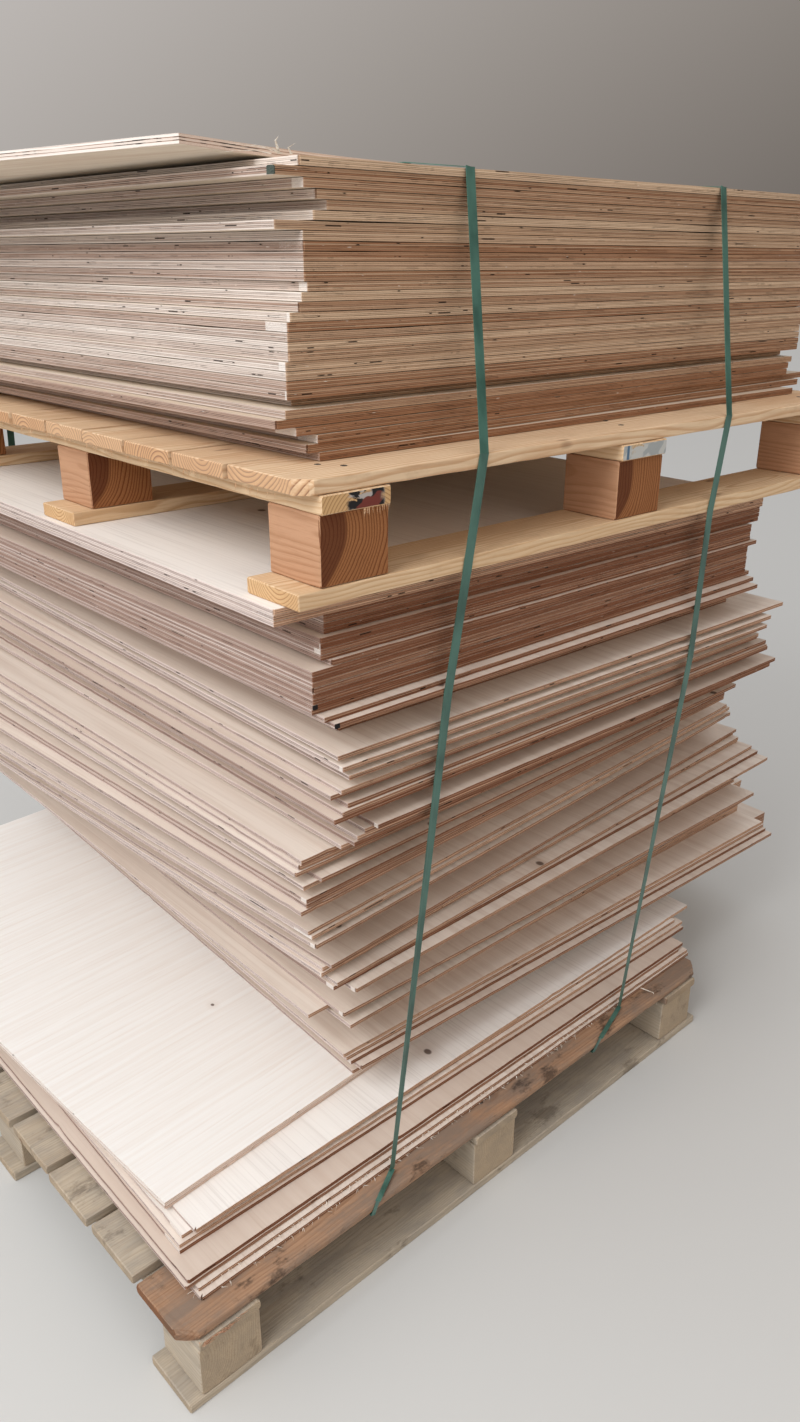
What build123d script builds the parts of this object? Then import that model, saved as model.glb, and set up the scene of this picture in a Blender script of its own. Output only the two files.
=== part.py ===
from build123d import *
import math
import os

os.makedirs("parts", exist_ok=True)

# Driving dimensions, in millimetres. +Z is up, X runs along the pallet's length and -Y is the front.
# The origin is on the floor, at the centre of the lower pallet.

# Pallets: both have the same plan and the same blocks, and differ in their boards
pallet_length = 1200.0
pallet_width = 1180.0
block_length = 100.0
block_width = 100.0
block_end_inset = 20.0
stringer_width = 100.0
stringer_overhang = 3.0
bottom_board_width = 100.0
fit_gap = 0.1

lower_bottom_board = 16.0
lower_block_height = 87.0
lower_stringer = 18.0
lower_deck_board = 18.0
lower_deck_front = 122.0
lower_deck_width = 122.0
lower_deck_space = 10.0
lower_corner_cut = 24.0

upper_bottom_board = 20.0
upper_block_height = 82.0
upper_stringer = 22.0
upper_deck_board = 18.0
upper_deck_front = 140.0
upper_deck_width = 115.0
upper_deck_space = 1.5
upper_block_inset = 32.0
upper_pallet_x = 229.0
upper_pallet_y = 1.0
upper_pallet_turn = -1.3

# Sheets
thin_sheet = 6.5
thin_gap = 0.52
thin_depth = 1250.0
pale_depth = 1197.0
thick_sheet = 9.5
thick_gap = 0.6
thick_depth = 1220.0
top_sheet_lift = 7.0
top_sheet_bend = 330.0

# Straps
strap_width = 15.0
strap_thickness = 1.0
strap_clearance = 0.5

# Lower tier, from the bottom up: sheets in the course, the near corner's distance in from the left side
# and from the front of the lower pallet, the turn in degrees, and the sheets' length
loose_bottom = [
    (1, 50, 35, 0, 1160),
    (1, 53, 45, -0.4, 1155),
    (1, 38, 53, -0.4, 1150),
    (1, 43, 54, -0.4, 1160),
    (1, 58, 97, -1.2, 1185),
    (1, 60, 100, -1.0, 1190),
    (1, 68, 106, -0.9, 1165),
    (1, 83, 95, 0, 1205),
]
pale_sheets = [(2, 71, 152, 3, 1205)]
set_back_run = [
    (1, 435, 171, -2.5, 1215),
    (8, 462, 182, -2.5, 1180),
    (1, 404, 113, -2.4, 1150),
    (1, 396, 127, -2.4, 1155),
    (1, 391, 132, -2.3, 1160),
    (1, 387, 134, -2.3, 1160),
    (11, 440, 180, -1.5, 1110),
    (1, 373, 99, -0.3, 1130),
    (1, 345, 160, -0.6, 1110),
    (1, 331, 146, -1, 1125),
    (1, 365, 106, -1.7, 1095),
    (10, 416, 138, -0.5, 1060),
    (1, 351, 60, 0.3, 1135),
    (1, 326, 78, 0.6, 1160),
    (1, 330, 74, 1.5, 1155),
    (1, 330, 105, 1.5, 1150),
]
middle_run = [
    (1, 315, 91, 2, 1160),
    (1, 319, 93, 2.6, 1160),
    (1, 326, 81, 3, 1155),
    (8, 340, 132, 3, 1110),
    (1, 283, 61, 3.1, 1130),
    (1, 295, 80, 3, 1110),
    (1, 281, 65, 2.9, 1125),
    (1, 278, 69, 2.8, 1120),
    (6, 300, 110, 2.4, 1070),
    (1, 254, 51, 2.2, 1060),
    (2, 264, 52, 1.6, 1040),
    (2, 282, 78, 1.2, 1010),
    (1, 261, 53, 1, 1015),
    (1, 284, 44, 0.6, 1010),
    (1, 266, 75, 0.4, 1040),
    (1, 252, 58, 0.2, 1075),
    (1, 259, 59, 0, 1100),
    (1, 263, 58, -0.3, 1110),
]
forward_run = [
    (1, 325, 52, -0.5, 1030),
    (1, 310, 35, -0.6, 1030),
    (1, 320, 20, -0.8, 1000),
    (1, 325, 20, -1, 985),
    (1, 337, 19, -1.2, 970),
    (1, 348, 6, -1.2, 950),
    (3, 312, 50, -1.2, 960),
    (1, 281, 12, -1.3, 990),
    (1, 294, 11, -1.5, 965),
    (1, 305, 14, -1.5, 955),
    (1, 300, 42, -1.6, 940),
    (1, 285, 23, -1.8, 950),
    (1, 296, 15, -1.8, 930),
    (2, 328, 36, -2, 880),
    (1, 302, 7, -2.3, 920),
    (1, 308, 26, -2.2, 915),
    (1, 292, 7, -2.2, 940),
    (1, 306, 33, -2.2, 940),
    (1, 290, 13, -2.2, 985),
    (6, 336, 70, -1.8, 865),
]
squared_packets = [
    (1, 278, 2, -1.5, 905),
    (1, 270, 12, -1.1, 925),
    (1, 263, 27, -1.1, 940),
    (7, 263, 24, -1, 925),
    (1, 292, 24, -1.6, 905),
    (4, 281, 30, -1.6, 905),
    (4, 293, 38, -1.8, 920),
    (3, 215, 29, -1.8, 985),
]

# Upper tier, from the bottom up, measured the same way from the corner of the lower pallet
upper_lower_half = [
    (1, 327, 80, -1, 1040),
    (1, 310, 82, 0, 1110),
    (1, 325, 80, 0.5, 1120),
    (1, 296, 82, 0, 1080),
    (1, 268, 82, 0, 1110),
    (1, 282, 82, 0, 1105),
    (1, 308, 105, 0, 1080),
    (4, 284, 81, 0, 1115),
    (4, 287, 80, 0, 1120),
]
upper_upper_half = [
    (1, 291, 80, 0, 1120),
    (1, 303, 80, 0, 1110),
    (1, 308, 80, 0, 1110),
    (1, 316, 80, 0, 1100),
    (2, 312, 80, 0, 1110),
    (3, 312, 80, 0, 1120),
    (1, 278, 84, 0, 1150),
    (1, 328, 82, 0, 1100),
    (1, 347, 82, 0, 1090),
    (1, 330, 80, 0, 1100),
    (1, 313, 78, 0, 1120),
    (1, 275, 78, 0, 1150),
    (1, 306, 76, 0, 1120),
]
top_sheet_x = 205.0
top_sheet_y = 139.0
top_sheet_turn = 7.0
top_sheet_length = 1120.0

# Where each strap crosses: its distance in from the left side at the top of the load, at the upper pallet's
# deck and base, at the lowest sheet, over the lower deck's edge and under it, then at the rear
strap_crossings = {
    "strap_left": (558, 510, 486, 391, 337, 327, 525),
    "strap_right": (1100, 1033, 1011, 967, 875, 857, 990),
}
# The sheets that each strap bends over. For the one furthest forward, its height, its distance in from the front
# edge of the lower pallet, and the strap's own distance in from the left side there. For the two furthest back,
# the height, and the distance from the front less the sheets' depth
strap_bends = {
    "strap_left": ((925, -3.5, 459), (209, 181), (378, 181)),
    "strap_right": ((851, -21.5, 995), (209, 169), (582, 170)),
}
loose_rear_inset = 102.0
upper_front_inset = 76.0

# Heights that follow from the pieces below
lower_pallet_height = lower_bottom_board + lower_block_height + lower_stringer + lower_deck_board
upper_pallet_height = upper_bottom_board + upper_block_height + upper_stringer + upper_deck_board
corner_x = -pallet_length / 2
corner_y = -pallet_width / 2


def tier_plane(x, y, z, turn):
    """Plane at a corner given by its distance in from the lower pallet's near corner."""
    return Plane((corner_x + x, corner_y + y, z)).rotated((0, 0, turn))


def add_sheets(courses, base, sheet, gap, depth):
    """Adds each sheet of the courses as its own solid and returns the height of the last one's face."""
    level = base
    for count, x, y, turn, length in courses:
        for _ in range(count):
            with BuildSketch(tier_plane(x, y, level + gap, turn)) as outline:
                Rectangle(length, depth, align=(Align.MIN, Align.MIN))
            extrude(outline.sketch, amount=sheet)
            level += sheet + gap
    return level


def finish(piece, name):
    """Labels a piece and writes it."""
    piece.part.label = name
    export_step(piece.part, f"parts/{name}.step")


def block_rows(width):
    """Y of the front edge of each of a pallet's three rows."""
    return [0, (pallet_width - width) / 2, pallet_width - width]


def block_columns(inset):
    """X of the left edge of each of a pallet's three columns."""
    return [inset, (pallet_length - block_length) / 2, pallet_length - inset - block_length]


def row_of_boxes(place, z, spots, length, width, height):
    """Adds a box with its near lower corner at each spot of a pallet."""
    for x, y in spots:
        with BuildSketch(place.offset(z)) as outline:
            with Locations((x, y)):
                Rectangle(length, width, align=(Align.MIN, Align.MIN))
        extrude(outline.sketch, amount=height)


def build_pallet(prefix, place, inset, heights, deck_front, deck_width, deck_space, corner_cut):
    """Makes the boards and blocks of one pallet, row by row, and writes them."""
    bottom_board, block_height, stringer, deck_board = heights
    rows = {"front": 0, "middle": 1, "rear": 2}
    columns = block_columns(inset)
    for row_name, row in rows.items():
        board_y = block_rows(bottom_board_width)[row]
        with BuildPart() as board:
            row_of_boxes(place, 0, [(0, board_y)], pallet_length, bottom_board_width, bottom_board)
        finish(board, f"{prefix}_bottom_board_{row_name}")
        block_y = block_rows(block_width)[row]
        with BuildPart() as blocks:
            spots = [(x, block_y) for x in columns]
            row_of_boxes(place, bottom_board, spots, block_length, block_width, block_height)
        finish(blocks, f"{prefix}_blocks_{row_name}")
    stringer_base = bottom_board + block_height
    with BuildPart() as stringers:
        spots = [(x, -stringer_overhang) for x in columns]
        row_of_boxes(place, stringer_base, spots, stringer_width, pallet_width + 2 * stringer_overhang, stringer)
    finish(stringers, f"{prefix}_stringer_boards")
    deck_base = stringer_base + stringer
    pitch = deck_width + deck_space
    deck_start = deck_front + deck_space
    full_boards = math.floor((pallet_width + deck_space - deck_start) / pitch)
    spare_start = deck_start + full_boards * pitch
    spare = pallet_width - spare_start
    with BuildPart() as front_board:
        with BuildSketch(place.offset(deck_base)) as outline:
            Rectangle(pallet_length, deck_front, align=(Align.MIN, Align.MIN))
            ends = vertices().group_by(Axis((0, 0, 0), tuple(place.y_dir)))[0]
            chamfer(ends, corner_cut)
        extrude(outline.sketch, amount=deck_board)
    finish(front_board, f"{prefix}_deck_board_front")
    with BuildPart() as deck:
        spots = [(0, deck_start + number * pitch) for number in range(full_boards)]
        row_of_boxes(place, deck_base, spots, pallet_length, deck_width, deck_board)
        if spare > deck_board:
            spot = (0, spare_start)
            row_of_boxes(place, deck_base, [spot], pallet_length, spare, deck_board)
    finish(deck, f"{prefix}_deck_boards")


# Lower pallet
lower_heights = (lower_bottom_board, lower_block_height, lower_stringer, lower_deck_board)
lower_place = tier_plane(0, 0, 0, 0)
lower_deck = (lower_deck_front, lower_deck_width, lower_deck_space)
build_pallet("lower_pallet", lower_place, block_end_inset, lower_heights, *lower_deck, lower_corner_cut)

# Lower tier of thin sheets
level = lower_pallet_height
with BuildPart() as bottom_sheets:
    level = add_sheets(loose_bottom, level, thin_sheet, thin_gap, thin_depth)
finish(bottom_sheets, "lower_sheets_loose_bottom")
with BuildPart() as pale:
    level = add_sheets(pale_sheets, level, thin_sheet, thin_gap, pale_depth)
finish(pale, "lower_sheets_pale")
with BuildPart() as set_back_sheets:
    level = add_sheets(set_back_run, level, thin_sheet, thin_gap, thin_depth)
finish(set_back_sheets, "lower_sheets_set_back")
with BuildPart() as middle_sheets:
    level = add_sheets(middle_run, level, thin_sheet, thin_gap, thin_depth)
finish(middle_sheets, "lower_sheets_middle")
with BuildPart() as forward_sheets:
    level = add_sheets(forward_run, level, thin_sheet, thin_gap, thin_depth)
finish(forward_sheets, "lower_sheets_forward")
with BuildPart() as packet_sheets:
    level = add_sheets(squared_packets, level, thin_sheet, thin_gap, thin_depth)
finish(packet_sheets, "lower_sheets_packets")
lower_tier_top = level

# Upper pallet
upper_heights = (upper_bottom_board, upper_block_height, upper_stringer, upper_deck_board)
upper_place = tier_plane(upper_pallet_x, upper_pallet_y, lower_tier_top + fit_gap, upper_pallet_turn)
upper_deck = (upper_deck_front, upper_deck_width, upper_deck_space)
build_pallet("upper_pallet", upper_place, upper_block_inset, upper_heights, *upper_deck, lower_corner_cut)

# Upper tier of thicker sheets
level = lower_tier_top + fit_gap + upper_pallet_height
with BuildPart() as first_half:
    level = add_sheets(upper_lower_half, level, thick_sheet, thick_gap, thick_depth)
finish(first_half, "upper_sheets_first_half")
with BuildPart() as second_half:
    level = add_sheets(upper_upper_half, level, thick_sheet, thick_gap, thick_depth)
finish(second_half, "upper_sheets_second_half")
upper_tier_top = level


# The top sheet lies turned on the stack, and its left end curls up
top_base = upper_tier_top + thick_gap
top_turn = math.radians(top_sheet_turn)
with BuildPart() as curled_sheet:
    front_face = Plane(
        origin=(corner_x + top_sheet_x, corner_y + top_sheet_y, top_base),
        x_dir=(math.cos(top_turn), math.sin(top_turn), 0),
        z_dir=(math.sin(top_turn), -math.cos(top_turn), 0),
    )
    with BuildSketch(front_face):
        with BuildLine():
            under_flat = Line((top_sheet_length, 0), (top_sheet_bend, 0))
            under_curl = TangentArc(under_flat @ 1, (0, top_sheet_lift), tangent=(-1, 0))
            end_face = Line(under_curl @ 1, (0, top_sheet_lift + thick_sheet))
            over_curl = TangentArc((top_sheet_bend, thick_sheet), end_face @ 1, tangent=(-1, 0))
            over_flat = Line(over_curl @ 0, (top_sheet_length, thick_sheet))
            Line(over_flat @ 1, under_flat @ 0)
        make_face()
    extrude(amount=-thick_depth)
finish(curled_sheet, "upper_sheet_top")
load_top = top_base + thick_sheet


def pallet_front(x):
    """Distance of the upper pallet's front edge from the lower pallet's front, at a distance in from the left."""
    return upper_pallet_y + (x - upper_pallet_x) * math.tan(math.radians(upper_pallet_turn))


def top_sheet_line(x, back):
    """Distance of the top sheet's front edge, or of a line that far behind it, from the lower pallet's front."""
    start_x = top_sheet_x - back * math.sin(top_turn)
    start_y = top_sheet_y + back * math.cos(top_turn)
    return start_y + (x - start_x) * math.tan(top_turn)


def strap_points(crossings, bends):
    """Corners of a strap's centre line with the outward side of the run that starts at each."""
    at_top, at_deck, at_base, at_sheet, at_arris, at_under, at_rear = crossings
    (bulge_height, bulge, at_bulge), (low_height, low_inset), (high_height, high_inset) = bends
    off = strap_thickness / 2 + strap_clearance
    front, rear, up, down = (0, -1, 0), (0, 1, 0), (0, 0, 1), (0, 0, -1)
    deck_underside = lower_pallet_height - lower_deck_board
    upper_base = lower_tier_top + fit_gap
    on_deck = lower_pallet_height + off + strap_thickness
    first_sheet = loose_bottom[0][2]
    loose_height = lower_pallet_height + 4 * (thin_sheet + thin_gap)
    rear_loose, rear_low, rear_high = [thin_depth + inset for inset in (loose_rear_inset, low_inset, high_inset)]
    top_front = top_sheet_line(at_top - strap_width / 2, 0)
    top_rear = top_sheet_line(at_top + strap_width / 2, thick_depth)
    return [
        ((at_top, upper_front_inset - off, upper_tier_top + off), front),
        ((at_deck, pallet_front(at_deck + strap_width) - off, upper_base + upper_pallet_height), front),
        ((at_base, pallet_front(at_base + strap_width) - off, upper_base), front),
        ((at_bulge, bulge - off, bulge_height), front),
        ((at_sheet, first_sheet - strap_width / 2 - off, lower_pallet_height + thin_sheet), up),
        ((at_arris, -off, on_deck), front),
        ((at_under, -off, deck_underside - off), down),
        ((at_rear, pallet_width + off, deck_underside - off), down),
        ((at_rear, first_sheet + thin_depth + 2 * off, lower_pallet_height - 2 * off), rear),
        ((at_rear, rear_loose + off, loose_height), rear),
        ((at_rear, rear_low + off, low_height - 2 * (thin_sheet + thin_gap)), rear),
        ((at_rear, rear_high + off, high_height), rear),
        ((at_top, top_rear + off, load_top + off), up),
        ((at_top, top_front - off, load_top + off), up),
    ]


for strap_name, crossings in strap_crossings.items():
    corners = strap_points(crossings, strap_bends[strap_name])
    with BuildPart() as strap:
        for number, (point, outward) in enumerate(corners):
            start = Vector(*point) + (corner_x, corner_y, 0)
            end = Vector(*corners[(number + 1) % len(corners)][0]) + (corner_x, corner_y, 0)
            run = end - start
            along = run.normalized()
            face = Vector(*outward) - along * Vector(*outward).dot(along)
            lap = along * (strap_thickness / 2)
            with BuildSketch(Plane(origin=start - lap, x_dir=face, z_dir=along)):
                Rectangle(strap_thickness, strap_width)
            extrude(amount=run.length + strap_thickness)
    finish(strap, strap_name)
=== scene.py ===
import math
import random

import bpy
import numpy as np
from mathutils import Matrix, Vector


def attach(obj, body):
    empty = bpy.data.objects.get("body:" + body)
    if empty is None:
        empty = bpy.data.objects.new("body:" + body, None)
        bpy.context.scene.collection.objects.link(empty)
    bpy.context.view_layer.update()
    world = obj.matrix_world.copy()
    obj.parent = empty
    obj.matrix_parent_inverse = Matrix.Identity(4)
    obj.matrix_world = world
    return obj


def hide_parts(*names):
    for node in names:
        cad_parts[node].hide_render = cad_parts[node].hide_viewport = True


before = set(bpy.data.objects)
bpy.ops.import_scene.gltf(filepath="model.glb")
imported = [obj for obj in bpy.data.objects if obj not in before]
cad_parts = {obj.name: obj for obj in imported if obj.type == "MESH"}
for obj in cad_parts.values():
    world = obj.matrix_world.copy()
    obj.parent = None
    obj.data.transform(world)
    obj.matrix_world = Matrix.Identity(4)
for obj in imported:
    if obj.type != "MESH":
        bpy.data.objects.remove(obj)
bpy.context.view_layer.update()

# The sockets of the mixing node that hold its factor, its two colours and its result
MIX_FACTOR, MIX_FIRST, MIX_SECOND, MIX_RESULT = 0, 6, 7, 2


def rgb(red, green, blue):
    """Linear colour from screen values of 0 to 255."""
    linear = []
    for value in (red, green, blue):
        part = value / 255
        linear.append(part / 12.92 if part <= 0.04045 else ((part + 0.055) / 1.055) ** 2.4)
    return (*linear, 1.0)


class Shader:
    """Writes a material's nodes: most calls add one node and return its output."""

    def __init__(self, name):
        self.material = bpy.data.materials.new(name)
        self.material.use_nodes = True
        self.tree = self.material.node_tree
        self.bsdf = self.tree.nodes["Principled BSDF"]

    def node(self, kind, **settings):
        made = self.tree.nodes.new(kind)
        for key, value in settings.items():
            setattr(made, key, value)
        return made

    def feed(self, socket, value):
        if isinstance(value, bpy.types.NodeSocket):
            self.tree.links.new(value, socket)
        elif value is not None:
            socket.default_value = value

    def fill(self, made, values):
        """Feeds a node's inputs, given by name or number, and returns its first output."""
        for key, value in values.items():
            self.feed(made.inputs[key], value)
        return made.outputs[0]

    def attribute(self, name, output="Fac"):
        return self.node("ShaderNodeAttribute", attribute_name=name).outputs[output]

    def math(self, operation, first, second=None, clamp=False):
        made = self.node("ShaderNodeMath", operation=operation, use_clamp=clamp)
        return self.fill(made, {0: first, 1: second})

    def times(self, first, second, clamp=False):
        return self.math("MULTIPLY", first, second, clamp)

    def plus(self, first, second, clamp=False):
        return self.math("ADD", first, second, clamp)

    def minus(self, first, second):
        return self.math("SUBTRACT", first, second)

    def distance(self, first, second):
        """How far a point at two right-angled offsets is from their zero."""
        return self.math("SQRT", self.plus(self.math("POWER", first, 2.0), self.math("POWER", second, 2.0)))

    def combine(self, x, y, z=0.0):
        return self.fill(self.node("ShaderNodeCombineXYZ"), {0: x, 1: y, 2: z})

    def split(self, vector):
        made = self.node("ShaderNodeSeparateXYZ")
        self.feed(made.inputs[0], vector)
        return made.outputs

    def noise(self, vector, detail=2.0, roughness=0.5, distortion=0.0):
        made = self.node("ShaderNodeTexNoise")
        look = {"Detail": detail, "Roughness": roughness, "Distortion": distortion}
        return self.fill(made, {"Vector": vector, "Scale": 1.0, **look})

    def own_noise(self, x_scale, y_scale, z_scale, detail):
        """Noise over the object's own coordinates, with a scale along each."""
        x, y, z = self.split(self.node("ShaderNodeTexCoord").outputs["Object"])
        where = self.combine(self.times(x, x_scale), self.times(y, y_scale), self.times(z, z_scale))
        return self.noise(where, detail)

    def white(self, vector):
        return self.fill(self.node("ShaderNodeTexWhiteNoise", noise_dimensions="3D"), {"Vector": vector})

    def cells(self, vector, dimensions="3D"):
        """Distance from the nearest of many scattered points."""
        made = self.node("ShaderNodeTexVoronoi", feature="F1", voronoi_dimensions=dimensions)
        return self.fill(made, {"Vector": vector, "Scale": 1.0})

    def span(self, value, low, high, start=0.0, end=1.0):
        """Smooth step of a value from low to high, giving start to end."""
        made = self.node("ShaderNodeMapRange", interpolation_type="SMOOTHSTEP")
        return self.fill(made, dict(enumerate((value, low, high, start, end))))

    def mix(self, factor, first, second, blend="MIX"):
        made = self.node("ShaderNodeMix", data_type="RGBA", blend_type=blend)
        self.fill(made, {MIX_FACTOR: factor, MIX_FIRST: first, MIX_SECOND: second})
        return made.outputs[MIX_RESULT]

    def finish(self, colour, roughness=0.7, height=None, depth=0.0005, specular=0.25):
        """Puts a colour, a gloss and a relief of the given depth in metres on the material."""
        self.fill(self.bsdf, {"Base Color": colour, "Roughness": roughness, "Specular IOR Level": specular})
        if height is not None:
            relief = {"Strength": 0.6, "Distance": depth, "Height": height}
            self.feed(self.bsdf.inputs["Normal"], self.fill(self.node("ShaderNodeBump"), relief))
        return self.material


# Colours that all sheets or all boards share
GLUE_BROWN = rgb(74, 44, 30)
CRACK_BROWN = rgb(38, 24, 17)
CORE_GAP = rgb(30, 20, 15)
PALE_FLECK = rgb(238, 232, 222)
CORNER_PATCH = rgb(236, 228, 220)
# Near-white of painted light, for the brightly lit top faces of the highest sheets
PAINTED_LIGHT_WHITE = rgb(246, 243, 239)
PAINTED_LIGHT_STREAK = rgb(214, 210, 206)
SHEET_KNOT = rgb(84, 60, 46)
BOARD_KNOT = rgb(104, 62, 36)
RING_LINE = rgb(122, 68, 36)

# A sawn edge's pattern keeps this mean where its contrast is lowered
MEAN_PATTERN = 0.45
# Metres from ring to ring on a painted board end, and from its pith to the stripe on it
END_RING_PITCH = 0.0044
STRIPE_OFFSET = 0.058


def ply_edge(name, plies, lit_side_tones, shaded_front_tones, glue, contrast=1.0):
    """Sawn edge of a sheet: plies, broken glue lines, long cracks, core gaps and pale patches at corners."""
    s = Shader(name)
    ply, run, seed, tone, side, rim = map(s.attribute, ("ply", "run", "seed", "tone", "side", "rim"))
    # Painted light and shade: side edges take the paler, cooler tones and front and rear edges the darker,
    # warmer ones
    light, dark, deep = (s.mix(side, front, left) for front, left in zip(shaded_front_tones, lit_side_tones))

    def grain(lengthwise, cross, crosswise, detail, roughness=0.5):
        """Noise drawn out along the edge."""
        where = s.combine(s.times(run, lengthwise), s.times(cross, crosswise), seed)
        return s.noise(where, detail, roughness)

    # The plies wander in thickness. number counts them, and line is how far a place is from its ply's side
    wobble = s.noise(s.combine(s.times(run, 7.0), seed), 3.0)
    level = s.plus(s.times(ply, float(plies)), s.times(s.minus(wobble, 0.5), 0.45))
    number = s.math("FLOOR", level)
    part = s.math("FRACT", level)
    line = s.math("MINIMUM", part, s.minus(1.0, part))

    # Every second ply shows its end grain. Each has its own tone, and so has the sheet
    own = s.white(s.combine(number, s.math("FLOOR", seed), 3.0))
    end_grain = s.math("ABSOLUTE", s.minus(s.minus(1.0, side), s.math("PINGPONG", number, 1.0)))
    pattern = s.plus(s.times(end_grain, 0.38), s.times(own, 0.55))
    pattern = s.plus(s.times(pattern, contrast), MEAN_PATTERN * (1.0 - contrast))
    whole = s.times(s.minus(s.math("MAXIMUM", tone, 0.2), 0.5), 0.9)
    base = s.mix(s.plus(pattern, whole, clamp=True), light, dark)

    # Long streaks, and pores where the grain ends
    streak = grain(4.0, level, 2.6, 5.0, 0.7)
    base = s.mix(s.span(streak, 0.5, 0.7, 0.0, 0.7), base, deep)
    base = s.mix(s.span(streak, 0.46, 0.3, 0.0, 0.6), base, light)
    pores = grain(420.0, level, 7.0, 2.0)
    coarse = s.times(s.minus(1.0, s.times(side, 0.6)), s.plus(s.times(end_grain, 0.3), 0.08))
    base = s.mix(s.times(s.span(pores, 0.5, 0.72), coarse), base, deep)

    # Glue lines that break off, and cracks along them, away from the sheet's faces
    broken = grain(6.0, number, 3.1, 3.0)
    within = s.times(s.span(ply, 0.14, 0.24), s.span(ply, 0.76, 0.86, 1.0, 0.0))
    glue_line = s.times(s.span(line, 0.04, 0.18, 1.0, 0.0), s.span(broken, 0.36, 0.54, 0.25 * contrast, 0.95))
    glue_line = s.times(glue_line, within)
    base = s.mix(glue_line, base, glue)
    cracks = grain(13.0, number, 4.3, 3.0, 0.65)
    crack = s.times(s.times(s.span(cracks, 0.575, 0.605), s.span(line, 0.1, 0.22, 1.0, 0.0)), within)
    base = s.mix(crack, base, CRACK_BROWN)

    # Gaps in the core, pale flecks, and a pale patch at a few corners
    voids = grain(17.0, number, 5.7, 3.0, 0.6)
    hole = s.times(s.span(voids, 0.66, 0.68), s.span(line, 0.16, 0.3))
    base = s.mix(hole, base, CORE_GAP)
    flecks = grain(60.0, ply, 4.0, 1.0)
    base = s.mix(s.span(flecks, 0.77, 0.81, 0.0, 0.7), base, PALE_FLECK)
    chance = s.white(s.combine(s.math("FLOOR", seed), 5.0, s.math("FLOOR", s.times(run, 0.9))))
    reach = s.times(s.minus(chance, 0.78), 0.2)
    patch = s.times(s.math("LESS_THAN", rim, reach), side)
    base = s.mix(s.times(patch, 0.75), base, CORNER_PATCH)
    dents = s.plus(glue_line, s.times(s.plus(hole, crack), 3.0))
    return s.finish(base, 0.8, s.minus(s.times(pores, 0.4), dents), 0.0006, 0.12)


def ply_face(name, light, middle, streak, across, along, knots):
    """Veneer face with straight fine grain, faint bands and a few small knots, whitened as painted light at
    tones below 0.
    """
    s = Shader(name)
    u, v, _ = s.split(s.attribute("spot", "Vector"))
    seed = s.attribute("seed")
    tone = s.attribute("tone")

    def grain(crosswise, lengthwise, detail, roughness=0.5):
        """Noise drawn out along the grain."""
        where = s.combine(s.times(u, across * crosswise), s.times(v, along * lengthwise), seed)
        return s.noise(where, detail, roughness)

    hair = grain(5.0, 1.5, 2.0)
    base = s.mix(s.span(grain(1.0, 1.0, 4.0, 0.6), 0.38, 0.7, 0.0, 0.8), light, middle)
    base = s.mix(s.span(hair, 0.52, 0.74, 0.0, 0.28), base, streak)
    base = s.mix(s.span(grain(0.12, 0.5, 3.0), 0.45, 0.75, 0.0, 0.5), base, middle)
    base = s.mix(s.times(tone, 0.4, clamp=True), base, middle)
    base = s.mix(s.times(s.math("MAXIMUM", s.minus(tone, 0.5), 0.0), 0.5, clamp=True), base, streak)
    # Painted light: tones below 0 whiten the face towards near-white, for the brightly lit top faces of the
    # highest sheets
    painted_light = s.mix(s.span(hair, 0.45, 0.75, 0.0, 0.5), PAINTED_LIGHT_WHITE, PAINTED_LIGHT_STREAK)
    base = s.mix(s.span(tone, -1.0, 0.0, 0.75, 0.0), base, painted_light)
    spots = s.cells(s.combine(s.times(u, knots), s.times(v, knots * 0.8)), "2D")
    base = s.mix(s.span(spots, 0.009, 0.04, 0.25, 0.0), base, streak)
    base = s.mix(s.times(s.span(spots, 0.005, 0.009, 1.0, 0.0), 0.85), base, SHEET_KNOT)
    return s.finish(base, 0.62, s.times(hair, 0.5), 0.0003, 0.25)


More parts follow.
